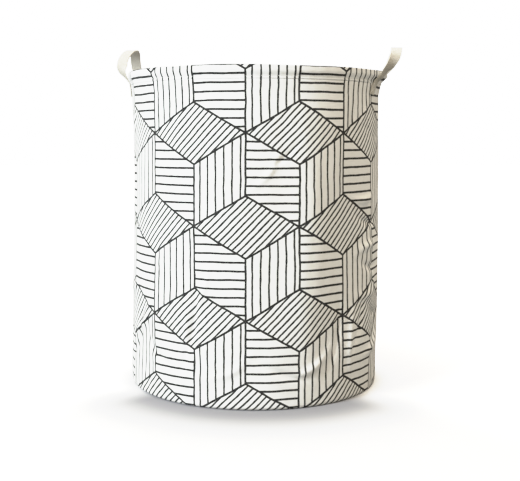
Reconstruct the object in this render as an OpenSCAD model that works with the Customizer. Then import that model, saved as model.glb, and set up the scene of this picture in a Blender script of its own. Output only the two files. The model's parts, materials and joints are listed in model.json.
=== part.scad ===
// Round fabric storage bin: a printed canvas tube on a round base, a folded hem that leans
// outward, a film lining, and two loops of cotton webbing sewn to the outside of the rim.
// Origin: centre of the base's underside. +Z up, +X towards the right-hand handle, seam at +Y.

/* [Bin] */
// Outside diameter of the canvas wall
bin_diameter = 400; // [300:10:500]
// Height from the floor to the top of the hem
bin_height = 500; // [350:10:650]
// Radius of the soft corner between wall and base
corner_radius = 6; // [5:1:20]

/* [Cloth] */
// Thickness of the printed canvas
canvas = 1.2; // [0.8:0.1:1.6]
// Thickness of the waterproof film lining
film = 0.5; // [0.3:0.1:0.8]
// Width of the sewn seam allowances inside
allowance = 12; // [8:1:16]
// Thickness of the sewing thread
thread = 0.35; // [0.2:0.05:0.35]

/* [Hem] */
// Depth of the folded hem
hem_depth = 20; // [16:1:26]
// Thickness of the folded hem
hem_thickness = 3; // [2:0.5:4]
// How far the hem leans outward at its top, all the way round
hem_lean = 4; // [0:1:6]
// Further outward lean where the right-hand handle pulls on the hem
right_pull = 8; // [0:1:8]
// Further outward lean where the left-hand handle pulls on the hem
left_pull = 3; // [0:1:8]

/* [Handles] */
// Width of the webbing
strap_width = 17.5; // [16:0.5:26]
// Thickness of the webbing
strap_thickness = 2; // [1.5:0.5:2.5]
// Angle round the bin from a handle's middle to each of its legs
leg_angle = 13; // [11:1:16]
// Length of webbing sewn to the wall below the hem
tail_length = 18; // [14:1:24]
// How far out from the wall the right-hand webbing stands at the top of its legs
right_stand_off = 20; // [16:0.5:22]
// Rise of the right-hand loop above the rim
right_rise = 37; // [30:1:60]
// How far out the top of the right-hand loop lies from its legs
right_reach = 15; // [0:1:30]
// How far the right-hand loop's sides bow outward
right_bow = 3.5; // [0:0.5:10]
// How far the right-hand loop's rear side bows further than its front side
right_skew = -1.5; // [-6:0.5:6]
// How far the right-hand webbing has turned at the top of its legs, in degrees
right_turn = 25; // [15:5:60]
// Share of the right-hand loop's rise over which it turns the rest of the way
right_turn_share = 1; // [0.25:0.05:1.2]
// How far out from the wall the left-hand webbing stands at the top of its legs
left_stand_off = 16.5; // [16:0.5:22]
// Rise of the left-hand loop above the rim
left_rise = 39; // [30:1:60]
// How far out the top of the left-hand loop lies from its legs, inward if negative
left_reach = -3; // [-12:1:30]
// How far the left-hand loop's sides bow outward
left_bow = 6; // [0:0.5:10]
// How far the left-hand loop's front side bows further than its rear side
left_skew = 0; // [-6:0.5:6]
// How far the left-hand webbing has turned at the top of its legs, in degrees
left_turn = 25; // [15:5:60]
// Share of the left-hand loop's rise over which it turns the rest of the way
left_turn_share = 0.3; // [0.25:0.05:1.2]

/* [Hidden] */

wall_r = bin_diameter / 2;
lining_r = wall_r - canvas;
inner_r = lining_r - film;
base_r = wall_r - corner_radius;
hem_bottom = bin_height - hem_depth;
// The rim moves down on its own, so it stays clear of the wall by this much
free_gap = 0.4;
wall_top = hem_bottom - free_gap;

// The angle within which a handle pulls the hem outward
pull_half_angle = 28;
right_side = 0;
left_side = 180;
hem_steps = 96;
step_angle = 360 / hem_steps;

// Each loop turns about a level line through the tops of its two legs. The loop starts a little
// above that line and the tails end a little below it, so that their ends don't meet as it turns.
hinge_clearance = 2;
hinge_z = bin_height + hinge_clearance;
loop_gap = 3;
tail_gap = 6;
loop_steps = 44;
tail_steps = 8;
// How square a loop's arch is: 2 is an ellipse
loop_squareness = 2;

// Each handle's shape, in the order that the lookups below use
right_shape = [
    right_stand_off, right_turn, right_rise, right_reach, right_bow, right_skew, right_turn_share
];
left_shape = [
    left_stand_off, left_turn, left_rise, left_reach, left_bow, left_skew, left_turn_share
];
function leg_top_r(shape) = wall_r + shape[0];
function start_turn(shape) = shape[1];
function rise(shape) = shape[2];
function reach(shape) = shape[3];
function bow(shape) = shape[4];
function skew(shape) = shape[5];
function turn_share(shape) = shape[6];
function hinge_x(shape) = leg_top_r(shape) * cos(leg_angle);
function hinge_y(shape) = leg_top_r(shape) * sin(leg_angle);

canvas_colour = [0.95, 0.94, 0.91];
film_colour = [0.90, 0.91, 0.92];
webbing_colour = [0.90, 0.87, 0.78];
thread_colour = [0.97, 0.96, 0.93];

$fn = 180;

function unit(v) = v / norm(v);
function clamp01(x) = max(0, min(1, x));
function across(v, t) = unit(v - t * (v * t));
function smooth(x) = x * x * (3 - 2 * x);
function away(a, b) = abs(((a - b + 540) % 360) - 180);
function pull(a, side) = 1 / (1 + pow(away(a, side) / pull_half_angle, 4));
function lean(a) = hem_lean + right_pull * pull(a, right_side) + left_pull * pull(a, left_side);
function hem_share(z) = clamp01((z - hem_bottom) / hem_depth);
function hem_outside(a, z) = wall_r + lean(a) * hem_share(z);
function around(a, r, z) = [r * cos(a), r * sin(a), z];

// One solid from rings of points. Each ring has the same number of points; closed joins the
// last ring to the first, and otherwise both ends are capped.
module skin(rings, closed) {
    n = len(rings);
    m = len(rings[0]);
    last = closed ? n : n - 1;
    points = [for (ring = rings) for (p = ring) p];
    sides = [
        for (i = [0 : last - 1]) for (j = [0 : m - 1])
            let (a = i * m + j, b = i * m + (j + 1) % m,
                 c = ((i + 1) % n) * m + (j + 1) % m, d = ((i + 1) % n) * m + j)
            each [[a, b, c], [a, c, d]]
    ];
    caps = closed ? [] : [[for (j = [m - 1 : -1 : 0]) j], [for (j = [0 : m - 1]) (n - 1) * m + j]];
    polyhedron(points, concat(sides, caps), convexity = 6);
}

// The four corners of the webbing at one place, from its middle, its width's and its face's direction
function strap_ring(middle, width, face) = [
    middle - width * strap_width / 2 - face * strap_thickness / 2,
    middle + width * strap_width / 2 - face * strap_thickness / 2,
    middle + width * strap_width / 2 + face * strap_thickness / 2,
    middle - width * strap_width / 2 + face * strap_thickness / 2
];

// Side profile of a shell that lies `inset` inside the wall's outer face and is `t` thick
module shell_profile(inset, t) {
    outer = corner_radius - inset;
    difference() {
        union() {
            translate([base_r, corner_radius])
                square([outer, wall_top - corner_radius]);
            translate([base_r, corner_radius])
                intersection() {
                    circle(r = outer);
                    translate([0, -outer])
                        square(outer);
                }
        }
        translate([base_r - 1, corner_radius])
            square([outer - t + 1, wall_top]);
        translate([base_r, corner_radius])
            circle(r = outer - t);
    }
}

module base_panel() {
    color(canvas_colour)
        cylinder(r = base_r, h = canvas);
}

module base_lining() {
    color(film_colour)
        translate([0, 0, canvas])
            cylinder(r = base_r, h = film);
}

module ring(inner, outer, low, high) {
    translate([0, 0, low])
        difference() {
            cylinder(r = outer, h = high - low);
            translate([0, 0, -1])
                cylinder(r = inner, h = high - low + 2);
        }
}

binding_outer = base_r - 0.5;
binding_inner = binding_outer - 3;
binding_bottom = canvas + film;

module base_seam_binding() {
    color(webbing_colour)
        ring(binding_inner, binding_outer, binding_bottom, binding_bottom + allowance * 0.8);
}

module base_seam_stitching() {
    color(thread_colour)
        ring(binding_inner - thread, binding_inner, binding_bottom + 5, binding_bottom + 6);
}

module wall_panel() {
    color(canvas_colour)
        rotate_extrude()
            shell_profile(0, canvas);
}

module wall_lining() {
    color(film_colour)
        rotate_extrude()
            shell_profile(canvas, film);
}

seam_thickness = 2;
seam_out = sqrt(pow(inner_r, 2) - pow(allowance / 2, 2));
seam_bottom = binding_bottom + allowance;

module side_seam_allowance() {
    color(canvas_colour)
        translate([-allowance / 2, seam_out - seam_thickness, seam_bottom])
            cube([allowance, seam_thickness, wall_top - seam_bottom]);
}

module side_seam_stitching() {
    color(thread_colour)
        for (side = [-1, 1])
            translate([side * allowance / 4 - 0.3, seam_out - seam_thickness - thread, seam_bottom + 2])
                cube([0.6, thread, wall_top - seam_bottom - 4]);
}

// The hem's stitches pull the cloth level, so the hem is upright where they lie on it
stitch_z = hem_bottom + 4;
stitch_top = stitch_z + 0.8;
hem_edge = 1;

module hem_band() {
    color(canvas_colour)
        skin([
            for (i = [0 : hem_steps - 1])
                let (a = i * step_angle,
                     stitched = hem_outside(a, stitch_z),
                     out = hem_outside(a, bin_height)) [
                    around(a, wall_r - hem_thickness, hem_bottom),
                    around(a, wall_r, hem_bottom),
                    around(a, stitched, stitch_z),
                    around(a, stitched, stitch_top),
                    around(a, out, bin_height - hem_edge),
                    around(a, out - hem_edge, bin_height),
                    around(a, out - hem_thickness + hem_edge, bin_height),
                    around(a, out - hem_thickness, bin_height - hem_edge)
                ]
        ], true);
}

module hem_stitching() {
    color(thread_colour)
        skin([
            for (i = [0 : hem_steps - 1])
                let (a = i * step_angle, stitched = hem_outside(a, stitch_z)) [
                    around(a, stitched, stitch_z),
                    around(a, stitched + thread, stitch_z),
                    around(a, stitched + thread, stitch_top),
                    around(a, stitched, stitch_top)
                ]
        ], true);
}

// The webbing's tails: flat on the wall below the hem, then out to the tops of the legs. Above the
// hem's bottom the edge that faces the handle's middle turns outward.
tail_bottom = hem_bottom - tail_length;
tail_r = wall_r + free_gap + strap_thickness / 2;
tail_top = hinge_z - tail_gap;

function rim_share(z) = clamp01((z - hem_bottom) / (hinge_z - hem_bottom));

module tail(a, shape) {
    heights = [tail_bottom, hem_bottom, each [for (i = [1 : tail_steps])
        hem_bottom + (tail_top - hem_bottom) * i / tail_steps]];
    outward = [cos(a), sin(a), 0];
    inward = sign(a) * [sin(a), -cos(a), 0];
    lean_out = leg_top_r(shape) - tail_r;
    leaning = unit(outward * lean_out + [0, 0, hinge_z - hem_bottom]);
    skin([
        for (z = heights)
            let (t = z > hem_bottom ? leaning : [0, 0, 1],
                 turn = (start_turn(shape) - leg_angle) * rim_share(z),
                 width = across(inward * cos(turn) + outward * sin(turn), t))
            strap_ring(around(a, tail_r + lean_out * rim_share(z), z), width, cross(width, t))
    ], false);
}

module tails(shape) {
    tail(leg_angle, shape);
    tail(-leg_angle, shape);
}

// A sewn box on the outside of a tail
tack_width = strap_width - 6;
tack_height = tail_length - 6;
tack_line = 1;
tack_z = hem_bottom - tail_length / 2;

module tack(a) {
    rotate([0, 0, a])
        translate([tail_r + strap_thickness / 2 + thread / 2, 0, tack_z])
            difference() {
                cube([thread, tack_width, tack_height], center = true);
                cube([2, tack_width - 2 * tack_line, tack_height - 2 * tack_line], center = true);
            }
}

module tacks() {
    tack(leg_angle);
    tack(-leg_angle);
}

// A loop's middle line is a superellipse seen from the side: a runs from -90 degrees at the front
// leg to 90 at the rear leg. At the top the webbing's width is level and points outward.
function loop_radius(a, shape) =
    pow(pow(abs(sin(a)) / hinge_y(shape), loop_squareness) + pow(cos(a) / rise(shape), loop_squareness),
        -1 / loop_squareness);
function loop_share(a, shape) = loop_radius(a, shape) * cos(a) / rise(shape);
function loop_out(h, y, shape) =
    reach(shape) * h + 4 * h * (1 - h) * (bow(shape) + skew(shape) * y / hinge_y(shape));
function loop_point(a, shape) =
    let (h = loop_share(a, shape), y = loop_radius(a, shape) * sin(a))
    [hinge_x(shape) + loop_out(h, y, shape), y, hinge_z + rise(shape) * h];
function loop_turn(h, shape) =
    start_turn(shape) + (90 - start_turn(shape)) * smooth(clamp01(h / turn_share(shape)));

module loop(shape) {
    // The webbing starts just above the line that it turns about
    a_end = atan(hinge_y(shape) / loop_gap);
    small = 0.2;
    skin([
        for (i = [0 : loop_steps])
            let (a = a_end * (2 * i / loop_steps - 1),
                 t = unit(loop_point(a + small, shape) - loop_point(a - small, shape)),
                 turn = loop_turn(loop_share(a, shape), shape),
                 inward = unit([0, t[2], -t[1]]),
                 width = across(inward * cos(turn) + [sin(turn), 0, 0], t))
            strap_ring(loop_point(a, shape), width, cross(t, width))
    ], false);
}

module right_handle_tails() {
    color(webbing_colour)
        tails(right_shape);
}

module right_tack_stitching() {
    color(thread_colour)
        tacks();
}

module right_handle_loop() {
    color(webbing_colour)
        loop(right_shape);
}

module left_handle_tails() {
    color(webbing_colour)
        rotate([0, 0, left_side])
            tails(left_shape);
}

module left_tack_stitching() {
    color(thread_colour)
        rotate([0, 0, left_side])
            tacks();
}

module left_handle_loop() {
    color(webbing_colour)
        rotate([0, 0, left_side])
            loop(left_shape);
}

base_panel();
base_lining();
base_seam_binding();
base_seam_stitching();
wall_panel();
wall_lining();
side_seam_allowance();
side_seam_stitching();
hem_band();
hem_stitching();
right_handle_tails();
right_tack_stitching();
right_handle_loop();
left_handle_tails();
left_tack_stitching();
left_handle_loop();
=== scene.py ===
"""Looks for the fabric storage bin: printed canvas wall, folded hem, film lining, base and webbing handles.

Lengths are in metres unless a name says millimetres. The right-hand handle is at +X and the side seam at +Y.
Angles round the bin are measured from +X towards +Y, in radians unless a name says degrees.
"""
import json
import math
from collections import namedtuple

import bmesh
import bpy
import numpy as np
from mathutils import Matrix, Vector


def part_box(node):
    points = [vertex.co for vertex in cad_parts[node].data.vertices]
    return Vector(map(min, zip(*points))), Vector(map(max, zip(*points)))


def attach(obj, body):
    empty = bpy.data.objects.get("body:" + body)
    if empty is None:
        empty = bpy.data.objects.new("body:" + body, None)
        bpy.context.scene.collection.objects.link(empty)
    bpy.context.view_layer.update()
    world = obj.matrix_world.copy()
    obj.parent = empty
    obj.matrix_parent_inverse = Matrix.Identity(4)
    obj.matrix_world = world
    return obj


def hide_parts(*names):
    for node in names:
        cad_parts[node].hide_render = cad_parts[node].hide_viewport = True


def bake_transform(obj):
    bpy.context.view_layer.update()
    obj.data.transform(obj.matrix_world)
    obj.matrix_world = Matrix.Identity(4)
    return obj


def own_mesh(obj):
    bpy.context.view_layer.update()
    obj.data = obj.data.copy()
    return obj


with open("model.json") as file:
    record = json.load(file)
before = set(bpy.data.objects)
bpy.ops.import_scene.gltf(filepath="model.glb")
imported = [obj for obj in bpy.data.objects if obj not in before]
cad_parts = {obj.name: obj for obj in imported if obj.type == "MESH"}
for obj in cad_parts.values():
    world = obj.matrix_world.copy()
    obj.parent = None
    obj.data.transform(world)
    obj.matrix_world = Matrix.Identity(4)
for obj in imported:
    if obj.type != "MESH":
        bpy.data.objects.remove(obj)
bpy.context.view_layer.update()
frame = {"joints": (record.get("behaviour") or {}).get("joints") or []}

MM = 0.001


# ------------------------------ sizes, from the frame
_, wall_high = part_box("wall_panel")
hem_low, hem_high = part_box("hem_band")
base_low, base_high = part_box("base_panel")
lining_low, lining_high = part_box("base_lining")
binding_low, binding_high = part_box("base_seam_binding")
allowance_low, allowance_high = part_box("side_seam_allowance")
tails_low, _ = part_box("right_handle_tails")

RADIUS = round(wall_high.x, 3)
HEM_BOTTOM = hem_low.z
HEM_DEPTH = hem_high.z - HEM_BOTTOM
BASE_RADIUS = round(base_high.x, 3)
CORNER = RADIUS - BASE_RADIUS
CORNER_LENGTH = CORNER * math.pi / 2
WALL_LENGTH = CORNER_LENGTH + HEM_BOTTOM - CORNER
CANVAS = base_high.z - base_low.z
FILM = lining_high.z - lining_low.z
ROUND = 2 * math.pi
SEAM_ANGLE = math.pi / 2

# The side of the bin that faces the camera, and the handles' places round the bin
CAMERA_AZIMUTH = math.radians(9)
FRONT = CAMERA_AZIMUTH - math.pi / 2
RIGHT_SIDE, LEFT_SIDE = 0.0, math.pi

# The handles, as in the CAD
LEG_ANGLE = math.radians(13)
STRAP_WIDTH = 17.5 * MM
HALF_STRAP_ANGLE = 0.042
STRAP_THICKNESS = 1.9 * MM
RIBS = 9
joint_of = {j["name"]: j for j in frame["joints"]}
HINGE_X = {
    RIGHT_SIDE: joint_of["right_handle_flop"]["pos_m"][0],
    LEFT_SIDE: -joint_of["left_handle_flop"]["pos_m"][0],
}
HINGE_Z = joint_of["right_handle_flop"]["pos_m"][2]

COLLAPSE_RANGE = joint_of["wall_collapse"]["range_m"][1]
COLLAPSE_KEEP = 1 - COLLAPSE_RANGE / HEM_BOTTOM


# ------------------------------ small helpers
def smooth(x):
    x = np.clip(x, 0, 1)
    return x * x * (3 - 2 * x)


def bell(x):
    return np.exp(-x * x)


def away(angle, side):
    """How far round the bin an angle is from a place, signed, in radians."""
    return (np.asarray(angle) - side + math.pi) % ROUND - math.pi


def unit(v):
    return v / np.maximum(np.linalg.norm(v, axis=-1, keepdims=True), 1e-12)


def make_mesh(name, points, faces, uvs, material, smooth_shaded=True):
    """A mesh object from points, faces and one UV pair for each corner of each face."""
    mesh = bpy.data.meshes.new(name)
    faces = [tuple(int(i) for i in face) for face in faces]
    mesh.from_pydata([tuple(p) for p in np.asarray(points, float)], [], faces)
    if uvs is not None:
        layer = mesh.uv_layers.new(name="cloth")
        layer.data.foreach_set("uv", np.asarray(uvs, np.float32).ravel())
    mesh.polygons.foreach_set("use_smooth", [smooth_shaded] * len(mesh.polygons))
    mesh.materials.append(material)
    mesh.update()
    piece = bpy.data.objects.new(name, mesh)
    bpy.context.scene.collection.objects.link(piece)
    return piece


def surface_of_rings(name, rings, across, along, material, closed_along=False):
    """A surface from closed rings[i][j]: i runs along, j round. across and along are the flat cloth
    coordinates of the columns and rows, with one value more where that direction is closed."""
    rows, columns = rings.shape[:2]
    i = np.arange(rows if closed_along else rows - 1)
    ii, jj = (x.ravel() for x in np.meshgrid(i, np.arange(columns), indexing="ij"))
    up, right = (ii + 1) % rows, (jj + 1) % columns
    faces = np.stack([ii * columns + jj, ii * columns + right, up * columns + right, up * columns + jj], 1)
    u = np.stack([across[jj], across[jj + 1], across[jj + 1], across[jj]], 1)
    v = np.stack([along[ii], along[ii], along[ii + 1], along[ii + 1]], 1)
    return make_mesh(name, rings.reshape(-1, 3), faces, np.stack([u, v], 2), material)


def standing_for(piece, slot, *nodes):
    """The piece, which takes these CAD nodes' place: the nodes are hidden. The slot argument is not used."""
    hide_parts(*nodes)
    return piece


def round_the_bin(count):
    """Evenly spaced angles, from the side seam once round."""
    return SEAM_ANGLE - ROUND + np.arange(count) * ROUND / count


def round_points(angles, radius, height):
    """Points at these angles round the bin; radius and height may vary from row to row or point to point."""
    radius, height = np.broadcast_arrays(radius, height)
    return np.stack([radius * np.cos(angles), radius * np.sin(angles), height], -1)


# ------------------------------ materials
class Net:
    """Short names for a material's nodes and sums."""

    def __init__(self, name):
        self.material = bpy.data.materials.new(name)
        self.material.use_nodes = True
        self.nodes = self.material.node_tree.nodes
        self.links = self.material.node_tree.links
        self.shader = self.nodes["Principled BSDF"]

    def put(self, socket, value):
        if isinstance(value, bpy.types.NodeSocket):
            self.links.new(value, socket)
        else:
            socket.default_value = value

    def math(self, operation, *values):
        node = self.nodes.new("ShaderNodeMath")
        node.operation = operation
        for socket, value in zip(node.inputs, values):
            self.put(socket, value)
        return node.outputs[0]

    def add(self, a, b):
        return self.math("ADD", a, b)

    def sub(self, a, b):
        return self.math("SUBTRACT", a, b)

    def mul(self, a, b):
        return self.math("MULTIPLY", a, b)

    def least(self, a, b):
        return self.math("MINIMUM", a, b)

    def most(self, a, b):
        return self.math("MAXIMUM", a, b)

    def size(self, a):
        return self.math("ABSOLUTE", a)

    def cloth(self):
        """The flat cloth coordinates, in metres: across and along."""
        uv = self.nodes.new("ShaderNodeUVMap")
        uv.uv_map = "cloth"
        split = self.nodes.new("ShaderNodeSeparateXYZ")
        self.links.new(uv.outputs[0], split.inputs[0])
        return split.outputs[0], split.outputs[1]

    def vector(self, x, y, z=0.0):
        node = self.nodes.new("ShaderNodeCombineXYZ")
        for socket, value in zip(node.inputs, (x, y, z)):
            self.put(socket, value)
        return node.outputs[0]

    def noise(self, vector, scale=1.0, detail=2.0, roughness=0.5):
        node = self.nodes.new("ShaderNodeTexNoise")
        self.links.new(vector, node.inputs["Vector"])
        node.inputs["Scale"].default_value = scale
        node.inputs["Detail"].default_value = detail
        node.inputs["Roughness"].default_value = roughness
        return node.outputs["Fac"]

    def place(self):
        return self.nodes.new("ShaderNodeTexCoord").outputs["Object"]

    def measure(self, operation, vector, direction=(0.0, 0.0, 0.0)):
        """A vector's LENGTH, or its DOT_PRODUCT with a direction."""
        node = self.nodes.new("ShaderNodeVectorMath")
        node.operation = operation
        self.links.new(vector, node.inputs[0])
        node.inputs[1].default_value = direction
        return node.outputs["Value"]

    def ramp(self, value, low, high, low_value=0.0, high_value=1.0):
        """value taken from low..high to low_value..high_value, smoothly."""
        node = self.nodes.new("ShaderNodeMapRange")
        node.interpolation_type = "SMOOTHSTEP"
        self.put(node.inputs["Value"], value)
        for key, x in (("From Min", low), ("From Max", high), ("To Min", low_value), ("To Max", high_value)):
            self.put(node.inputs[key], x)
        return node.outputs["Result"]

    def mix(self, share, a, b):
        node = self.nodes.new("ShaderNodeMix")
        node.data_type = "RGBA"
        self.put(node.inputs[0], share)
        for socket, value in ((node.inputs[6], a), (node.inputs[7], b)):
            self.put(socket, value if isinstance(value, bpy.types.NodeSocket) else (*value, 1.0))
        return node.outputs[2]

    def bump(self, height, distance, strength=1.0):
        node = self.nodes.new("ShaderNodeBump")
        node.inputs["Strength"].default_value = strength
        node.inputs["Distance"].default_value = distance
        self.links.new(height, node.inputs["Height"])
        self.links.new(node.outputs[0], self.shader.inputs["Normal"])

    def finish(self, colour, roughness, sheen=0.0, specular=0.3):
        self.put(self.shader.inputs["Base Color"], colour)
        self.put(self.shader.inputs["Roughness"], roughness)
        self.shader.inputs["Sheen Weight"].default_value = sheen
        self.shader.inputs["Sheen Roughness"].default_value = 0.6
        self.shader.inputs["Specular IOR Level"].default_value = specular
        return self.material


CANVAS_COLOUR = (0.885, 0.885, 0.868)
INK_COLOUR = (0.013, 0.013, 0.013)
WEAVE_PITCH = 0.75 * MM

# The print: hexagons with upright sides, each cut into three diamonds like a stack of blocks
HEXAGON_EDGE = ROUND * RADIUS / 8 / math.sqrt(3)
TIP = math.sqrt(3) / 2
PRINT_TURN = math.radians(18.43)
PRINT_BELOW_RIM = 52.3 * MM
PRINT_ACROSS = RADIUS * (FRONT + PRINT_TURN)
PRINT_UP = WALL_LENGTH + HEM_DEPTH - PRINT_BELOW_RIM - HEXAGON_EDGE
# The stripes of each diamond, as their first place and spacing in hexagon edges
LEVEL_STRIPES, UPRIGHT_STRIPES, SLANT_STRIPES = (-0.483, 0.14), (0.108, 0.136), (0.359, 0.0829)
# How far the hand-drawn lines wander across and along the cloth, and how unevenly they are pressed
WANDER_ACROSS, WANDER_ALONG, UNEVEN_PRESSURE = 4.4 * MM, 2.4 * MM, 0.9 * MM
BROAD_LINE, UPRIGHT_LINE, FINE_LINE = 1.6 * MM, 1.4 * MM, 1.35 * MM
LINE_EDGE = 0.28 * MM


def weave(net, across, along):
    """Height of a plain weave with uneven threads, and a slow streaky tone, each about 0 to 1."""
    turns = ROUND / WEAVE_PITCH
    over = net.mul(net.math("SINE", net.mul(across, turns)), net.math("SINE", net.mul(along, turns)))
    slub_across = net.noise(net.vector(net.mul(across, 55), net.mul(along, 1300)), detail=3)
    slub_along = net.noise(net.vector(net.mul(across, 1300), net.mul(along, 55)), detail=3)
    streaks = net.mul(net.add(slub_across, slub_along), 0.5)
    height = net.add(net.mul(over, 0.22), streaks)
    return height, streaks


def nearest_stripe(net, value, first, spacing):
    """Distance to the nearest of evenly spaced stripes, in the value's own units."""
    turns = net.mul(net.sub(value, first), 1 / spacing)
    return net.mul(net.size(net.sub(net.math("FRACT", net.add(turns, 100.5)), 0.5)), spacing)


def place_in_hexagon(net, across, along):
    """x and y from the middle of the nearest hexagon, in hexagon edges."""
    column = net.mul(net.sub(across, PRINT_ACROSS), 1 / (2 * TIP * HEXAGON_EDGE))
    row = net.mul(net.sub(along, PRINT_UP), 1 / (3 * HEXAGON_EDGE))

    def local(turns, shift, scale):
        return net.mul(net.sub(net.math("FRACT", net.add(turns, 100.0 + shift)), 0.5), scale)

    first_x, first_y = local(column, 0.5, 2 * TIP), local(row, 0.5, 3)
    other_x, other_y = local(column, 0.0, 2 * TIP), local(row, 0.0, 3)
    first_far = net.add(net.mul(first_x, first_x), net.mul(first_y, first_y))
    other_far = net.add(net.mul(other_x, other_x), net.mul(other_y, other_y))
    use_other = net.math("LESS_THAN", other_far, first_far)
    x = net.add(first_x, net.mul(net.sub(other_x, first_x), use_other))
    y = net.add(first_y, net.mul(net.sub(other_y, first_y), use_other))
    return x, y


def printed_lines(net, across, along):
    """How much ink there is, 0 to 1, for the stack-of-blocks print."""
    wander = net.noise(net.vector(across, along), scale=24, detail=3)
    wander_up = net.noise(net.vector(along, across, 3.7), scale=22, detail=1)
    across = net.add(across, net.mul(net.sub(wander, 0.5), WANDER_ACROSS))
    along = net.add(along, net.mul(net.sub(wander_up, 0.5), WANDER_ALONG))
    x, y = place_in_hexagon(net, across, along)
    wide = net.size(x)

    border = net.sub(TIP, net.most(wide, net.add(net.mul(wide, 0.5), net.mul(net.size(y), TIP))))
    upper_spokes = net.size(net.sub(net.mul(wide, 0.5), net.mul(y, TIP)))
    lower_spoke = net.add(wide, net.math("GREATER_THAN", y, 0.0))
    outline = net.least(border, net.least(upper_spokes, lower_spoke))

    level = nearest_stripe(net, y, *LEVEL_STRIPES)
    upright = nearest_stripe(net, wide, *UPRIGHT_STRIPES)
    slant = nearest_stripe(net, net.mul(net.sub(x, net.sub(y, 0.5)), math.sqrt(0.5)), *SLANT_STRIPES)
    on_left = net.math("LESS_THAN", x, 0.0)
    on_top = net.math("GREATER_THAN", y, net.mul(wide, math.tan(math.pi / 6)))
    side_stripe = net.add(upright, net.mul(net.sub(level, upright), on_left))

    pressure = net.noise(net.vector(across, along, 9.0), scale=140, detail=3)
    swell = net.mul(net.sub(pressure, 0.5), UNEVEN_PRESSURE)

    def line(distance, half_width):
        reach = net.sub(net.mul(distance, HEXAGON_EDGE), net.add(swell, half_width))
        return net.ramp(reach, -LINE_EDGE, LINE_EDGE, 1.0, 0.0)

    stripes = line(side_stripe, net.add(UPRIGHT_LINE, net.mul(on_left, BROAD_LINE - UPRIGHT_LINE)))
    fine = line(slant, FINE_LINE)
    stripes = net.add(stripes, net.mul(net.sub(fine, stripes), on_top))
    ink = net.most(stripes, line(outline, BROAD_LINE))
    dry = net.noise(net.vector(net.mul(across, 900), net.mul(along, 900), 5.0), detail=2)
    return net.mul(ink, net.ramp(dry, 0.28, 0.5, 0.84, 1.0))


def canvas(name, printed, tint=CANVAS_COLOUR):
    """Cotton-linen canvas, with or without the print."""
    net = Net(name)
    across, along = net.cloth()
    height, streaks = weave(net, across, along)
    patches = net.noise(net.vector(across, along, 1.3), scale=9, detail=3)
    shade = net.add(net.ramp(streaks, 0.3, 0.7, 0.0, 0.6), net.mul(patches, 0.4))
    dull = tuple(c * f for c, f in zip(tint, (0.93, 0.92, 0.90)))
    colour = net.mix(shade, dull, tint)
    if printed:
        ink = printed_lines(net, across, along)
        colour = net.mix(ink, colour, INK_COLOUR)
    net.bump(height, 0.30 * MM, 0.55)
    return net.finish(colour, net.ramp(streaks, 0.3, 0.7, 0.95, 0.82), sheen=0.05, specular=0.12)


def webbing(name):
    """Cream cotton webbing: lengthwise cords crossed by fine weft, with painted shade darkening the grooves
    between the cords.
    """
    net = Net(name)
    across, along = net.cloth()
    ribs = net.math("SINE", net.mul(across, ROUND * RIBS / STRAP_WIDTH))
    weft = net.math("SINE", net.add(net.mul(along, ROUND / (1.1 * MM)), net.mul(ribs, 1.4)))
    fuzz = net.noise(net.vector(net.mul(across, 900), net.mul(along, 260)), detail=4, roughness=0.65)
    height = net.add(net.mul(ribs, 0.35), net.add(net.mul(weft, 0.25), fuzz))
    # Painted shade: the grooves between the ribs take the darker colour below; the fuzz adds random tone
    tone = net.add(net.mul(net.ramp(ribs, -1.0, 0.2), 0.7), net.mul(net.ramp(fuzz, 0.3, 0.7), 0.3))
    colour = net.mix(tone, (0.41, 0.38, 0.32), (0.60, 0.57, 0.50))
    net.bump(height, 0.45 * MM, 0.8)
    return net.finish(colour, net.ramp(fuzz, 0.3, 0.7, 0.95, 0.85), sheen=0.25, specular=0.15)


def film(name):
    """White waterproof film on the inside: slightly shiny, with the weave showing through and painted shade in
    its crease hollows.
    """
    net = Net(name)
    across, along = net.cloth()
    height, streaks = weave(net, across, along)
    creases = net.noise(net.vector(net.mul(across, 1.0), along, 2.0), scale=60, detail=5, roughness=0.6)
    # Painted shade: the film is darker where the creases sink in and lighter on their ridges
    colour = net.mix(net.ramp(creases, 0.35, 0.65), (0.80, 0.805, 0.80), (0.87, 0.875, 0.87))
    net.bump(net.add(net.mul(height, 0.35), net.mul(creases, 2.2)), 0.5 * MM, 0.5)
    return net.finish(colour, net.ramp(creases, 0.35, 0.65, 0.46, 0.34), specular=0.45)


def thread(name, tint):
    """Twisted sewing thread, with painted shade in the grooves of its twist."""
    net = Net(name)
    place = net.place()
    twist = net.nodes.new("ShaderNodeTexWave")
    twist.bands_direction = "DIAGONAL"
    twist.inputs["Scale"].default_value = 700
    net.links.new(place, twist.inputs["Vector"])
    fuzz = net.noise(place, scale=2600, detail=2)
    # Painted shade: the thread's colour is darker in the grooves of the twist
    dull = tuple(c * 0.86 for c in tint)
    net.bump(net.add(twist.outputs["Fac"], fuzz), 0.12 * MM, 0.6)
    colour = net.mix(twist.outputs["Fac"], dull, tint)
    return net.finish(colour, net.ramp(fuzz, 0.3, 0.7, 0.6, 0.75), sheen=0.2)


# The bin's painted shadow on the floor: its direction, and how far from the bin's middle it starts and ends
SHADE_DIRECTION = FRONT - math.radians(4)
SHADE_START, SHADE_END = 0.21, 0.34


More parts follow.
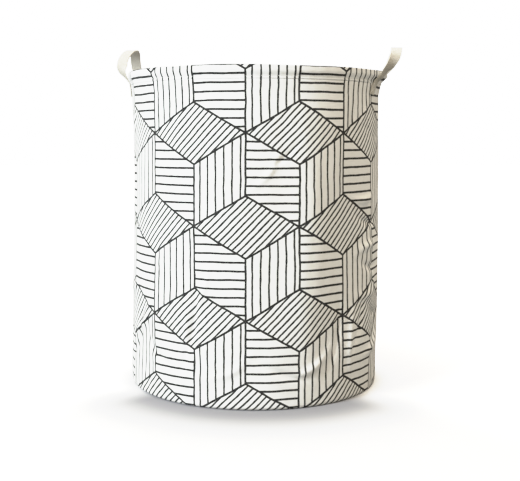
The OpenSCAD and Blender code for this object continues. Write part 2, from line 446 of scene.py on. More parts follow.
def floor_paint(name):
    """Plain pale studio floor, paler to the camera than in the light it throws on the bin. A painted glow lights
    it up away from the bin and beside its base, and a painted shadow makes it duller close in front of the bin."""
    net = Net(name)
    place = net.place()
    grain = net.noise(place, scale=40, detail=2)
    far = net.measure("LENGTH", place)
    direction = (math.cos(SHADE_DIRECTION), math.sin(SHADE_DIRECTION), 0.0)
    ahead = net.math("DIVIDE", net.measure("DOT_PRODUCT", place, direction), far)
    front = net.ramp(ahead, 0.40, 0.72)
    # Painted shadow: the floor is made duller, and its glow weaker, close in front of the bin
    shade = net.mul(front, net.ramp(far, SHADE_START, SHADE_END, 1.0, 0.0))
    # Painted glow: emission seen only by the camera, growing away from the bin and beside its base
    glow = net.add(net.ramp(far, 0.21, 0.42, 0.0, 0.45), net.ramp(far, 0.4, 3.0, 0.0, 1.6))
    glow = net.add(glow, net.mul(net.sub(1.0, front), net.ramp(far, 0.19, 0.23, 0.0, 0.6)))
    camera = net.nodes.new("ShaderNodeLightPath").outputs["Is Camera Ray"]
    net.shader.inputs["Emission Color"].default_value = (1.0, 1.0, 1.0, 1.0)
    net.put(net.shader.inputs["Emission Strength"], net.mul(camera, net.mul(glow, net.sub(1.0, shade))))
    bounce = net.mix(grain, (0.19, 0.20, 0.21), (0.21, 0.22, 0.23))
    seen = net.mix(shade, (0.9, 0.9, 0.9), (0.31, 0.31, 0.33))
    return net.finish(net.mix(camera, bounce, seen), 0.9, specular=0.0)


printed_canvas = canvas("printed_canvas", True)
plain_canvas = canvas("plain_canvas", False)
binding_tape = canvas("binding_tape", False, (0.80, 0.785, 0.73))
webbing_cloth = webbing("webbing")
lining_film = film("lining_film")
seam_thread = thread("seam_thread", (0.86, 0.85, 0.81))


# ------------------------------ the wall's shape
def waves(angle, height, seed, modes, rounds, rises, size):
    """A smooth random relief, the same each run, that joins up round the bin."""
    draw = np.random.default_rng(seed)
    total = np.zeros(np.broadcast(angle, height).shape)
    for _ in range(modes):
        m = draw.integers(*rounds)
        k = draw.uniform(*rises)
        total += draw.uniform(0.5, 1) * np.cos(m * angle + k * height + draw.uniform(0, ROUND))
    return size * total / math.sqrt(modes)


# Soft dents and swells: degrees to the right of the front, height, half-width in degrees, half-height,
# how far it stands out in millimetres, and how it leans, in degrees per metre of height
DENTS = [
    (23, 0.27, 8, 0.16, 4.6, 12),
    (43, 0.27, 10, 0.13, -2.2, 10),
    (10, 0.33, 9, 0.15, -1.2, 8),
    (62, 0.20, 8, 0.10, 2.2, -20),
    (72, 0.12, 8, 0.09, -3.2, -12),
    (50, 0.09, 9, 0.06, 2.4, 40),
    (34, 0.10, 7, 0.07, -2.4, 30),
    (12, 0.08, 10, 0.05, 1.6, -20),
    (-28, 0.13, 3, 0.06, -1.8, -25),
    (-21, 0.12, 5, 0.07, 1.4, -20),
    (-62, 0.08, 9, 0.06, -2.4, -45),
    (-45, 0.10, 8, 0.07, 1.8, -35),
    (-74, 0.25, 7, 0.14, -1.6, 8),
    (120, 0.30, 12, 0.12, -4.0, 15),
    (140, 0.16, 10, 0.08, 3.0, -25),
    (165, 0.36, 13, 0.09, -3.0, -12),
    (195, 0.12, 11, 0.08, -3.2, 30),
    (215, 0.30, 9, 0.14, 2.6, 10),
    (240, 0.20, 10, 0.10, -3.4, -18),
    (100, 0.10, 9, 0.07, 2.6, 25),
]


# How much deeper than listed the folds are
FOLD_DEPTH = 2.5

# Soft folds: degrees to the right of the front, height, the fold's direction in degrees above level, half
# its length, its half-width, how far it stands out and how much it curves, in millimetres
FOLDS = [
    (-27, 0.125, 80, 60, 4.5, -1.6, 6),
    (-30, 0.10, 96, 50, 5, 1.3, -5),
    (-22, 0.17, 70, 35, 4, 1.0, 4),
    (38, 0.10, 78, 45, 5, -1.5, 6),
    (45, 0.09, 86, 45, 5, 1.6, -5),
    (52, 0.11, 70, 40, 5, -1.3, 5),
    (57, 0.30, 8, 26, 6, 1.8, 5),
    (60, 0.265, -6, 26, 6, -1.8, 4),
    (58, 0.23, 10, 24, 6, 1.8, -4),
    (62, 0.195, -8, 26, 6, -1.6, 4),
    (60, 0.155, 14, 26, 7, 1.6, 5),
    (68, 0.12, -20, 30, 7, -1.8, 6),
    (66, 0.07, 24, 34, 7, 1.8, 6),
    (66, 0.40, -12, 26, 6, -1.2, 4),
    (58, 0.44, 64, 22, 5, 1.1, 3),
    (47, 0.43, 84, 26, 5, -1.0, 3),
    (-60, 0.11, 40, 36, 7, 1.8, 8),
    (-66, 0.08, 58, 34, 6, -1.8, 6),
    (-72, 0.16, 20, 28, 7, 1.4, 5),
    (-48, 0.07, -34, 34, 6, -1.4, 6),
    (-10, 0.055, 30, 34, 6, 1.0, 6),
    (12, 0.05, -22, 36, 6, -1.1, 6),
    (26, 0.06, 30, 30, 6, 1.4, 5),
    (6, 0.345, 55, 28, 5, 0.9, 4),
    (12, 0.365, 38, 24, 4, -0.8, 3),
    (-72, 0.42, 70, 24, 5, 0.9, 3),
    (-55, 0.44, 88, 22, 5, -0.8, 3),
    (110, 0.35, 24, 60, 9, 2.2, 9),
    (128, 0.22, -30, 60, 9, -2.4, 9),
    (150, 0.10, 34, 50, 8, 2.2, 9),
    (170, 0.40, 12, 50, 8, -1.8, 7),
    (188, 0.24, -36, 60, 9, 2.2, 9),
    (208, 0.12, 28, 50, 8, -2.0, 8),
    (228, 0.34, 40, 60, 9, 2.2, 9),
    (250, 0.14, -24, 50, 8, 2.0, 8),
    (262, 0.30, 74, 40, 7, -1.4, 6),
]


def folds(angle, height):
    """How far the listed folds stand out, in metres."""
    total = np.zeros(np.broadcast(angle, height).shape)
    for degrees, middle, direction, half_length, half_width, depth, curve in FOLDS:
        side = away(angle, FRONT + math.radians(degrees)) * RADIUS / MM
        up = (height - middle) / MM
        turn = math.radians(direction)
        along = (side * math.cos(turn) + up * math.sin(turn)) / half_length
        across = (up * math.cos(turn) - side * math.sin(turn) - curve * along * along) / half_width
        total += FOLD_DEPTH * depth * bell(along) * bell(across)
    return total * MM


def behind_tails(angle, height):
    """How much of the relief is left where the folded wall passes behind the right handle's tails."""
    near = sum(bell(away(angle, RIGHT_SIDE + math.radians(turn)) / math.radians(7)) for turn in (-16, 16))
    return 1 - 0.85 * np.clip(near, 0, 1) * smooth((height - 0.29) / 0.04)


def relief(angle, height):
    """How far dents, swells, folds and puckers stand out from the wall, in metres."""
    out = waves(angle, height, 11, 14, (2, 9), (-9, 9), 0.55 * MM)
    out = out + waves(angle, height, 12, 18, (9, 26), (-26, 26), 0.34 * MM)
    out = out + waves(angle, height, 14, 24, (24, 60), (-50, 50), 0.16 * MM) + folds(angle, height)
    for degrees, middle, half_width, half_height, depth, lean in DENTS:
        centre = FRONT + np.radians(degrees + lean * (height - middle))
        out = out + depth * MM * bell(away(angle, centre) / math.radians(half_width)) \
            * bell((height - middle) / half_height)
    calm = smooth(height / 0.05) * (0.35 + 0.65 * smooth((HEM_BOTTOM + 0.01 - height) / 0.09))
    puckers = waves(angle, height, 13, 16, (34, 72), (-60, 60), 0.30 * MM)
    near_base = bell((height - 0.014) / 0.022) * smooth(height / 0.01)
    near_hem = bell((height - HEM_BOTTOM) / 0.016)
    seam = -0.9 * MM * bell(away(angle, SEAM_ANGLE) * RADIUS / (1.4 * MM)) * smooth(height / 0.01)
    swell = 0.45 * MM * bell(away(angle, SEAM_ANGLE) * RADIUS / (9 * MM))
    return (out * calm + puckers * (near_base + near_hem)) * behind_tails(angle, height) + seam + swell


# The bin's slow outline on its right and left sides: height, and how far out it stands in millimetres
RIGHT_PROFILE = ((0.0, -3.0), (0.032, -2.4), (0.081, -0.3), (0.13, 0.7), (0.163, 1.0), (0.228, 1.4), (0.294, 0.5),
                 (0.359, 0.7), (0.408, -0.4), (0.457, 0.3), (0.48, 0.0))
LEFT_PROFILE = ((0.0, 2.5), (0.032, 4.1), (0.081, 3.0), (0.13, 2.0), (0.163, 2.4), (0.228, 0.3), (0.294, -0.9),
                (0.359, -1.7), (0.408, -1.3), (0.457, 1.1), (0.48, 1.0))


def sag(angle, height):
    """The slow change in the bin's outline, in metres."""
    def bulge(side, profile):
        heights, out = zip(*profile)
        return bell(away(angle, side) / math.radians(50)) * np.interp(height, heights, out) * MM
    right = bulge(RIGHT_SIDE + math.radians(8), RIGHT_PROFILE)
    return right + bulge(LEFT_SIDE - math.radians(9), LEFT_PROFILE)


def hem_lean(angle):
    """How far out the top of the hem leans, in metres."""
    def pulled(side, half_angle):
        return 1 / (1 + (away(angle, side) / half_angle) ** 4)
    lean = 4.5 + 9.4 * pulled(RIGHT_SIDE, 0.27) + 1.0 * pulled(LEFT_SIDE, 0.50)
    lean = lean + 1.6 * bell(away(angle, FRONT + math.radians(-52)) / 0.32)
    lean = lean + waves(angle, 0.0, 21, 5, (3, 8), (0, 1), 0.9)
    return lean * MM


def hem_out(angle, height):
    """How far the leaning hem brings the cloth out: a little below it, then quickly above its stitches."""
    below = np.clip((height - HEM_BOTTOM + 0.018) / 0.020, 0, 1)
    above = smooth((height - HEM_BOTTOM - 0.002) / 0.011)
    return hem_lean(angle) * (0.34 * below + 0.66 * above)


def wall_radius(angle, height):
    """How far the wall's outer face is from the bin's middle."""
    return RADIUS + relief(angle, height) + sag(angle, height) + hem_out(angle, height)


def wall_surface(angle, length, inset=0.0):
    """A point on the wall's outer face: length is measured along the cloth, up from the base's seam."""
    turn = np.clip(length / CORNER, 0, math.pi / 2) - math.pi / 2
    above = np.maximum(length - CORNER_LENGTH, 0)
    height = CORNER + CORNER * np.sin(turn) + above
    out = relief(angle, height) + hem_out(angle, height) - inset
    radius = BASE_RADIUS + (CORNER + out + sag(angle, height)) * np.cos(turn)
    height = height + out * np.sin(turn)
    return round_points(angle, radius, np.broadcast_to(height, radius.shape))


WALL_COLUMNS, WALL_ROWS, CORNER_ROWS = 640, 230, 12
columns = round_the_bin(WALL_COLUMNS)
cloth_across = RADIUS * np.append(columns, SEAM_ANGLE)
# Rows of the wall along the cloth, closer together round the corner at the base
wall_rows = np.concatenate([np.linspace(0, CORNER_LENGTH, CORNER_ROWS, endpoint=False),
                            np.linspace(CORNER_LENGTH, WALL_LENGTH, WALL_ROWS)])


def shell(name, outer_inset, inner_inset, material):
    """A sheet between two insets from the wall's outer face, closed at its edges."""
    rows = wall_rows
    outer = wall_surface(columns[None, :], rows[:, None], outer_inset)
    inner = wall_surface(columns[None, :], rows[::-1, None], inner_inset)
    along = np.concatenate([rows, rows[::-1], rows[:1]])
    rings = np.concatenate([outer, inner])
    return surface_of_rings(name, rings, cloth_across, along, material, closed_along=True)


def build_wall():
    cloth = shell("wall_canvas", 0.0, 0.8 * MM, printed_canvas)
    inside = shell("wall_film_lining", 0.9 * MM, 1.3 * MM, lining_film)
    return standing_for(cloth, "printed_canvas", "wall_panel"), standing_for(inside, "film", "wall_lining")


# ------------------------------ the hem
HEM_CLOTH = 0.8 * MM
HEM_PROUD = 0.5 * MM
HEM_GAP = 1.0 * MM


def hem_frame(angle, height):
    """The middle of the hem's outer leg at a height, and the outward and upward directions there."""
    step = 0.5 * MM
    slope = (hem_out(angle, height + step) - hem_out(angle, height - step)) / (2 * step)
    across = 1 / np.sqrt(1 + slope * slope)
    return wall_radius(angle, height) + HEM_PROUD, across, slope * across


def hem_profile():
    """The folded sheet's section as (height above the hem's bottom, distance outward), outer face first, and
    the cloth coordinate along it."""
    depth, turn = HEM_DEPTH, HEM_CLOTH + HEM_GAP / 2
    straight = np.linspace(0, depth - turn, 16)
    bend = np.linspace(0, math.pi, 11)[1:-1]
    middle_out = -turn

    def leg(radius):
        up = [(h, middle_out + radius) for h in straight]
        over = [(depth - turn + radius * math.sin(b), middle_out + radius * math.cos(b)) for b in bend]
        down = [(h, middle_out - radius) for h in straight[::-1]]
        return up + over + down

    outer, inner = leg(turn), leg(turn - HEM_CLOTH)
    outer_length = np.concatenate([[0], np.cumsum(np.hypot(*np.diff(np.array(outer), axis=0).T))])
    section = np.array(outer + inner[::-1])
    return section, np.concatenate([outer_length, outer_length[::-1], outer_length[:1]])


def build_hem():
    section, length = hem_profile()
    draw_in = 0.25 * MM * np.sin(columns[None, :] * 180)
    rows = []
    for up, out in section:
        height = HEM_BOTTOM + min(up, HEM_DEPTH)
        radius, across, rise = hem_frame(columns, height)
        stitched = bell((up - 4 * MM) / (2.2 * MM)) * (0.35 * MM + draw_in[0])
        sag = 0.5 * MM * np.sin(3 * columns + 1.0) + 0.35 * MM * np.sin(7 * columns)
        tall = sag * up / HEM_DEPTH
        outward = out - np.sign(out + HEM_CLOTH + HEM_GAP / 2) * stitched
        rows.append(round_points(columns, radius + outward * across, height + tall - outward * rise))
    piece = surface_of_rings("hem", np.array(rows), cloth_across, WALL_LENGTH + length, printed_canvas,
                             closed_along=True)
    return standing_for(piece, "printed_canvas", "hem_band")


# ------------------------------ stitches
def stitches(name, node, starts, ends, normals, radius):
    """One mesh of separate stitches: each is a thin bead of thread that dips into the cloth at both ends."""
    rings, sides = 7, 6
    share = np.linspace(0, 1, rings)
    girth = np.array([0.35, 0.8, 1.0, 1.0, 1.0, 0.8, 0.35]) * radius
    lift = np.sin(share * math.pi) ** 0.5 * radius * 0.9 - radius * 0.5
    along = unit(ends - starts)
    side = unit(np.cross(along, normals))
    points = []
    for s, g, h in zip(share, girth, lift):
        middle = starts + (ends - starts) * s + normals * h
        for k in range(sides):
            turn = ROUND * k / sides
            points.append(middle + g * (math.cos(turn) * side + math.sin(turn) * normals))
    points = np.array(points).transpose(1, 0, 2)
    base = []
    for i in range(rings - 1):
        for k in range(sides):
            a, b = i * sides + k, i * sides + (k + 1) % sides
            base.append((a, b, b + sides, a + sides))
    caps = [tuple(range(sides))[::-1], tuple((rings - 1) * sides + k for k in range(sides))]
    per = rings * sides
    faces = [tuple(n * per + i for i in f) for n in range(len(starts)) for f in base + caps]
    return standing_for(make_mesh(name, points.reshape(-1, 3), faces, None, seam_thread), "thread", node)


def running_line(points, normals, pitch, share=0.72):
    """Starts, ends and normals of a row of stitches along a line of points."""
    along = np.concatenate([[0], np.cumsum(np.linalg.norm(np.diff(points, axis=0), axis=1))])
    count = max(1, round(along[-1] / pitch))
    at = np.arange(count) * along[-1] / count

    def where(values, x):
        return np.stack([np.interp(x, along, values[:, k]) for k in range(3)], 1)

    step = along[-1] / count * share
    return where(points, at), where(points, at + step), unit(where(normals, at + step / 2))


def joined(*rows):
    return [np.concatenate(x) for x in zip(*rows)]


def hem_row(angles, height, inside):
    """Points and normals round the hem at one height, on its outer or inner face."""
    radius, across, rise = hem_frame(angles, height)
    offset = -(2 * HEM_CLOTH + HEM_GAP) if inside else 0.0
    offset = offset + (0.35 * MM if inside else -0.35 * MM)
    points = round_points(angles, radius + offset * across, height - offset * rise)
    normals = round_points(angles, across, -rise)
    return points, normals * (-1 if inside else 1)


STITCH_HEIGHT = HEM_BOTTOM + 4 * MM
STITCH_PITCH = 3.6 * MM


def build_hem_stitching():
    angles = SEAM_ANGLE - ROUND + np.linspace(0, ROUND, 1440)
    height = np.full_like(angles, STITCH_HEIGHT)
    rows = joined(*(running_line(*hem_row(angles, height, inside), STITCH_PITCH) for inside in (False, True)))
    return stitches("hem_stitches", "hem_stitching", *rows, 0.33 * MM)


# ------------------------------ handles
# rise, reach, bow and skew are as in the CAD; turn is the webbing's turn at the rim, and full_turn the share
# of the rise by which it faces sideways; rear_in is how much further in the rear leg stands at the rim; arch
# is how square the loop is, where 2 is an ellipse
Loop = namedtuple("Loop", "rise reach bow skew turn full_turn rear_in arch")
LOOPS = {
    RIGHT_SIDE: Loop(37 * MM, 15 * MM, 3.5 * MM, -1.5 * MM, math.radians(37), 1.1, 5 * MM, 2.0),
    LEFT_SIDE: Loop(39.3 * MM, -3.5 * MM, 4.5 * MM, -1 * MM, math.radians(48), 0.26, 0.0, 1.75),
}
# How much further apart the sewn ends of the tails are than their tops, as an angle on each side
SPREAD = {RIGHT_SIDE: math.radians(4.5), LEFT_SIDE: 0.0}
SPREAD_HEIGHT = 36 * MM
LOOP_GAP = 2.2 * MM
# Where the webbing leaves the hem
PEEL_HEIGHT = HEM_BOTTOM + 4 * MM
# How far the tails clear the wall, at rest and when it is folded down behind them
TAIL_CLEARANCE, FOLDED_CLEARANCE = 0.25 * MM, 0.15 * MM


def loop_line(side, count):
    """Middle line and width direction of a loop, from the front leg over to the rear leg."""
    loop = LOOPS[side]
    hinge_x = HINGE_X[side]
    hinge_y = hinge_x * math.tan(LEG_ANGLE)
    end = math.atan(hinge_y / LOOP_GAP)
    angle = end * (2 * np.arange(count + 1) / count - 1)

    def at(a):
        wide, tall = (np.abs(np.sin(a)) / hinge_y) ** loop.arch, (np.cos(a) / loop.rise) ** loop.arch
        far = (wide + tall) ** (-1 / loop.arch)
        h, y = far * np.cos(a) / loop.rise, far * np.sin(a)
        out = loop.reach * h + 4 * h * (1 - h) * (loop.bow + loop.skew * y / hinge_y)
        out = out - loop.rear_in * (1 - h) * (1 + y / hinge_y) / 2
        return np.stack([hinge_x + out, y, HINGE_Z + loop.rise * h], -1), h

    points, h = at(angle)
    tangent = unit(at(angle + 0.004)[0] - at(angle - 0.004)[0])
    turn = (loop.turn + (math.pi / 2 - loop.turn) * smooth(h / loop.full_turn))[:, None]
    inward = unit(np.stack([0 * h, tangent[:, 2], -tangent[:, 1]], -1))
    width = inward * np.cos(turn) + np.array([1.0, 0.0, 0.0]) * np.sin(turn)
    width = unit(width - tangent * (width * tangent).sum(1, keepdims=True))
    facing = np.array([-1.0, -1.0, 1.0]) if side == LEFT_SIDE else 1.0
    return points * facing, width * facing


def tail_line(side, sign):
    """Middle line and width direction of a tail, from its sewn end up; sign is -1 for the front one."""
    heights = np.linspace(tails_low.z, HINGE_Z - 2 * MM, 30)
    angle = side + sign * (LEG_ANGLE + SPREAD[side] * (1 - smooth((heights - tails_low.z) / SPREAD_HEIGHT)))
    surface = wall_radius(angle, heights)
    folded = HEM_BOTTOM - (HEM_BOTTOM - heights) / COLLAPSE_KEEP
    for aside in (-HALF_STRAP_ANGLE, 0.0, HALF_STRAP_ANGLE):
        behind = wall_radius(angle + aside, folded) + FOLDED_CLEARANCE
        surface = np.where(heights < HEM_BOTTOM, np.maximum(surface, behind), surface)
    surface = surface + HEM_PROUD * smooth((heights - HEM_BOTTOM + 0.002) / 0.003)
    surface = surface + STRAP_THICKNESS / 2 + TAIL_CLEARANCE
    top = HINGE_X[side] / math.cos(LEG_ANGLE) - (LOOPS[side].rear_in if sign > 0 else 0)
    peeled = np.clip((heights - PEEL_HEIGHT) / (HINGE_Z - PEEL_HEIGHT), 0, 1)
    leaving = np.interp(PEEL_HEIGHT, heights, surface)
    radius = np.maximum(surface, np.where(heights > PEEL_HEIGHT, leaving + (top - leaving) * peeled, 0))
    risen = np.clip((heights - HEM_BOTTOM) / (HINGE_Z - HEM_BOTTOM), 0, 1)
    turn = (LOOPS[side].turn - LEG_ANGLE) * risen ** 2
    inward = -sign * round_points(angle + math.pi / 2, np.ones_like(heights), 0 * heights)
    outward = round_points(angle, np.ones_like(heights), 0 * heights)
    width = inward * np.cos(turn)[:, None] + outward * np.sin(turn)[:, None]
    return round_points(angle, radius, heights), width


def eased(points, widths, rounds, keep):
    """Points and widths evened out along the strap, with the first and last few left alone."""
    points, widths = points.copy(), widths.copy()
    weight = np.zeros(len(points))
    weight[keep:-keep] = 1
    weight = weight[:, None]
    for _ in range(rounds):
        for values in (points, widths):
            mean = values.copy()
            mean[1:-1] = (values[:-2] + 2 * values[1:-1] + values[2:]) / 4
            values += (mean - values) * weight
    return points, unit(widths)


def respaced(points, widths, step):
    """Points and widths evenly spaced along the strap, and how far along each is."""
    along = np.concatenate([[0], np.cumsum(np.linalg.norm(np.diff(points, axis=0), axis=1))])
    at = np.linspace(0, along[-1], int(along[-1] / step) + 1)
    both = [np.stack([np.interp(at, along, v[:, k]) for k in range(3)], 1) for v in (points, widths)]
    return both[0], unit(both[1]), at


def strap_section():
    """The webbing's section: across from -1/2 to 1/2 of its width and its half thickness, with low ribs."""
    across = np.linspace(-0.5, 0.5, RIBS * 6 + 1)
    edge = np.clip((0.5 - np.abs(across)) * 22, 0, 1)
    ribs = np.abs(np.cos(across * math.pi * RIBS))
    half = STRAP_THICKNESS / 2 * (np.sqrt(1 - (1 - edge) ** 2) * 0.82 + 0.18 * ribs)
    half = half * np.where(edge > 0, 1, 0.3)
    return across * STRAP_WIDTH, half


def across_strap(points, widths):
    """Directions along, across and out of a strap at each of its points."""
    along = unit(np.gradient(points, axis=0))
    widths = unit(widths - along * (widths * along).sum(1, keepdims=True))
    return along, widths, np.cross(along, widths)


EASING_STEP, EASING_ROUNDS, EASING_ENDS = 1.0 * MM, 5, 16
STRAP_STEP = 1.2 * MM


def strap_line(side):
    """Points, width directions and lengths along a whole strap, from one sewn end to the other."""
    loop_points, loop_widths = loop_line(side, 90)
    first_points, first_widths = tail_line(side, -1)
    last_points, last_widths = tail_line(side, 1)
    if np.dot(first_widths[-1], loop_widths[0]) < 0:
        first_widths = -first_widths
    if np.dot(last_widths[-1], loop_widths[-1]) < 0:
        last_widths = -last_widths
    points = np.concatenate([first_points, loop_points, last_points[::-1]])
    widths = np.concatenate([first_widths, loop_widths, last_widths[::-1]])
    points, widths, _ = respaced(points, widths, EASING_STEP)
    points, widths = eased(points, widths, EASING_ROUNDS, EASING_ENDS)
    return respaced(points, widths, STRAP_STEP)


def build_strap(name, side, nodes):
    points, widths, along = strap_line(side)
    _, widths, face = across_strap(points, widths)
    across, half = strap_section()
    offsets = np.concatenate([across, across[::-1]])
    heights = np.concatenate([half, -half[::-1]])
    rings = points[:, None] + widths[:, None] * offsets[:, None] + face[:, None] * heights[:, None]
    section_edges = np.append(offsets, offsets[:1])
    piece = surface_of_rings(name, rings, section_edges, along, webbing_cloth)
    cap_ends(piece, rings.shape[0], rings.shape[1])
    standing_for(piece, "webbing", *nodes)
    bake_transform(piece)


def cap_ends(piece, rows, columns_round):
    """Closes a tube's first and last ring, and turns its faces outward."""
    mesh = piece.data
    work = bmesh.new()
    work.from_mesh(mesh)
    work.verts.ensure_lookup_table()
    layer = work.loops.layers.uv["cloth"]
    for first in (0, (rows - 1) * columns_round):
        face = work.faces.new([work.verts[first + k] for k in range(columns_round)])
        for loop in face.loops:
            loop[layer].uv = (0.0, 0.0)
    bmesh.ops.remove_doubles(work, verts=work.verts, dist=1e-6)
    bmesh.ops.recalc_face_normals(work, faces=work.faces)
    work.to_mesh(mesh)
    work.free()
    mesh.polygons.foreach_set("use_smooth", [True] * len(mesh.polygons))


TACK_THREAD = 0.32 * MM


def tack_rows(side):
    """Rows of stitches for the sewn boxes on both tails of a handle."""
    rows = []
    half_width, low, high = 6.2 * MM, tails_low.z + 3 * MM, HEM_BOTTOM - 3 * MM
    box = [(-1, 0), (1, 0), (1, 1), (-1, 1), (-1, 0)]
    for sign in (-1, 1):
        points, widths = tail_line(side, sign)
        _, widths, faces = across_strap(points, widths)
        faces = faces * np.sign((faces * points).sum(1, keepdims=True))

        def at(values, z):
            return np.array([np.interp(z, points[:, 2], values[:, k]) for k in range(3)])

        def spot(across, up):
            z = low + (high - low) * up
            return at(points, z) + at(widths, z) * half_width * across + at(faces, z) * STRAP_THICKNESS * 0.47

        for (a, b), (c, d) in [*zip(box, box[1:]), ((-1, 0), (1, 1)), ((-1, 1), (1, 0))]:
            line = np.array([spot(a + (c - a) * t, b + (d - b) * t) for t in np.linspace(0, 1, 12)])
            rows.append(running_line(line, np.tile(at(faces, (low + high) / 2), (12, 1)), 2.6 * MM))
    return joined(*rows)


# ------------------------------ the base
base_around = np.arange(240)[None, :] * ROUND / 240
base_rings = np.concatenate([np.linspace(0.0005, BASE_RADIUS - 0.012, 44),
                             np.linspace(BASE_RADIUS - 0.010, BASE_RADIUS, 8)])[:, None]


def base_lift():
    """How far the base's middle ripples up off the floor."""
    towards_edge = smooth((BASE_RADIUS - base_rings) / 0.05)
    ripple = waves(base_around, base_rings * 3, 31, 12, (1, 7), (-30, 30), 0.45 * MM) * towards_edge
    return np.maximum(ripple + 0.5 * MM, 0.0) * towards_edge


def base_disc(name, low, high, material):
    """A round sheet between two heights, with the flat cloth coordinates of its own plane."""
    lift = base_lift()
    top = round_points(base_around, base_rings, high + lift)
    bottom = round_points(base_around, base_rings[::-1], low + lift[::-1])
    rings = np.concatenate([top, bottom])
    rows, count = rings.shape[:2]
    flat = rings.reshape(-1, 3)
    faces = []
    for i in range(rows - 1):
        for k in range(count):
            quad = [(i, k), (i, (k + 1) % count), (i + 1, (k + 1) % count), (i + 1, k)]
            faces.append([p * count + q for p, q in quad][::-1])
    faces.append(list(range(count)))
    faces.append([(rows - 1) * count + k for k in range(count)][::-1])
    uvs = [flat[i][:2] for face in faces for i in face]
    return make_mesh(name, flat, faces, uvs, material)


def build_base():
    """The canvas round and its film."""
    base = base_disc("base_canvas", 0.0, CANVAS, plain_canvas)
    lining = base_disc("base_film_lining", CANVAS + 0.05 * MM, CANVAS + FILM, lining_film)
    return standing_for(base, "plain_canvas", "base_panel"), standing_for(lining, "film", "base_lining")


def binding_section():
    """The seam allowance round the base, as a folded strip that stands on the base."""
    low, high = binding_low.z + 0.6 * MM, binding_high.z
    bend = np.linspace(0, math.pi, 7)
    half = 1.2 * MM
    top = [(high - half + half * math.sin(b), half * math.cos(b)) for b in bend]
    sides = np.linspace(low, high - half, 7)[:-1]
    return np.array([(z, half) for z in sides] + top + [(z, -half) for z in sides[::-1]])


BINDING_MIDDLE = binding_high.x - 1.6 * MM
BINDING_STITCH_HEIGHT = 5.4 * MM


def binding_wave(angle, above):
    """How far the binding waves outward, at a height above the base."""
    share = above / (binding_high.z - binding_low.z)
    return waves(angle, 0.0, 41, 9, (14, 60), (0, 1), 0.55 * MM) * share


def build_binding():
    section = binding_section()
    around = round_the_bin(420)
    rows = []
    for z, out in section:
        wave = binding_wave(around, z - binding_low.z)
        rows.append(round_points(around, BINDING_MIDDLE + out + wave, z + 0.3 * wave))
    across = BINDING_MIDDLE * np.append(around, SEAM_ANGLE)
    along = np.append(np.cumsum(np.r_[0, np.hypot(*np.diff(section, axis=0).T)]), 0)
    piece = surface_of_rings("base_seam_tape", np.array(rows), across, along, binding_tape, closed_along=True)
    return standing_for(piece, "binding", "base_seam_binding")


def build_binding_stitches():
    around = SEAM_ANGLE - ROUND + np.linspace(0, ROUND, 1200)
    height = np.full_like(around, binding_low.z + BINDING_STITCH_HEIGHT)
    radius = BINDING_MIDDLE - 1.3 * MM + binding_wave(around, BINDING_STITCH_HEIGHT)
    line = round_points(around, radius, height)
    row = running_line(line, round_points(around, -1.0, 0.0 * around), 3.2 * MM)
    return stitches("base_seam_stitches", "base_seam_stitching", *row, 0.33 * MM)


# ------------------------------ the side seam, inside at the back
def inside_of_wall(angle, height):
    """Radius of the lining's inner face."""
    return wall_radius(angle, height) - 1.35 * MM


SEAM_LOW, SEAM_HIGH = allowance_low.z, allowance_high.z
SEAM_HALF = (allowance_high.x - allowance_low.x) / 2
SEAM_THICK = 1.3 * MM
SEAM_ROW_APART, OVERLOCK_PITCH = 2 * MM, 2.4 * MM
INWARD_AT_SEAM = np.array([0.0, -1.0, 0.0])


def seam_curl(x, height, side):
    """How far the free edges of the seam allowance lift off the wall."""
    return 0.5 * MM * (np.abs(x) / SEAM_HALF) ** 3 * (1 + np.sin(height * 130 + 3 * side))


def build_seam_strip():
    heights = np.linspace(SEAM_LOW, SEAM_HIGH, 240)
    across = np.linspace(-SEAM_HALF, SEAM_HALF, 17)
    x, z = across[None, :], heights[:, None]
    angle = SEAM_ANGLE - x / RADIUS
    wall = inside_of_wall(angle, z) - seam_curl(x, z, np.sign(x))
    front = round_points(angle, wall - SEAM_THICK, z + 0 * x)
    back = round_points(angle, wall - 0.1 * MM, z + 0 * x)
    rings = np.concatenate([front, back[:, ::-1]], axis=1)
    edges = np.concatenate([across, across[::-1], across[:1]])
    piece = surface_of_rings("side_seam_strip", rings, edges, heights, plain_canvas)
    cap_ends(piece, rings.shape[0], rings.shape[1])
    return standing_for(piece, "plain_canvas", "side_seam_allowance")


def straight_seam_row(x):
    """A row of stitches up the seam, x to one side of its middle."""
    angles = np.full(300, SEAM_ANGLE - x / RADIUS)
    heights = np.linspace(SEAM_LOW + 2 * MM, SEAM_HIGH - 1 * MM, 300)
    line = round_points(angles, inside_of_wall(angles, heights) - SEAM_THICK + 0.1 * MM, heights)
    return running_line(line, np.tile(INWARD_AT_SEAM, (300, 1)), 3.0 * MM)


def overlock_row():
    """The zigzag of thread over both edges of the seam allowance."""
    def spot(x, height, side):
        angle = SEAM_ANGLE - side * x / RADIUS
        radius = inside_of_wall(angle, height) - SEAM_THICK - seam_curl(x, height, side) + 0.1 * MM
        return round_points(angle, radius, height)

    starts, ends = [], []
    for side in (-1, 1):
        heights = np.arange(SEAM_LOW + 2 * MM, SEAM_HIGH - 1 * MM, OVERLOCK_PITCH)
        for low, high in zip(heights, heights[1:]):
            outer, inner, above = (spot(SEAM_HALF * share, z, side) for share, z in
                                   ((0.94, low), (0.62, low + OVERLOCK_PITCH / 2), (0.94, high)))
            starts += [outer, inner]
            ends += [inner, above]
    return np.array(starts), np.array(ends), np.tile(INWARD_AT_SEAM, (len(starts), 1))


def build_seam_stitches():
    rows = [straight_seam_row(x) for x in (-SEAM_ROW_APART / 2, SEAM_ROW_APART / 2)]
    return stitches("side_seam_stitches", "side_seam_stitching", *joined(*rows, overlock_row()), 0.26 * MM)


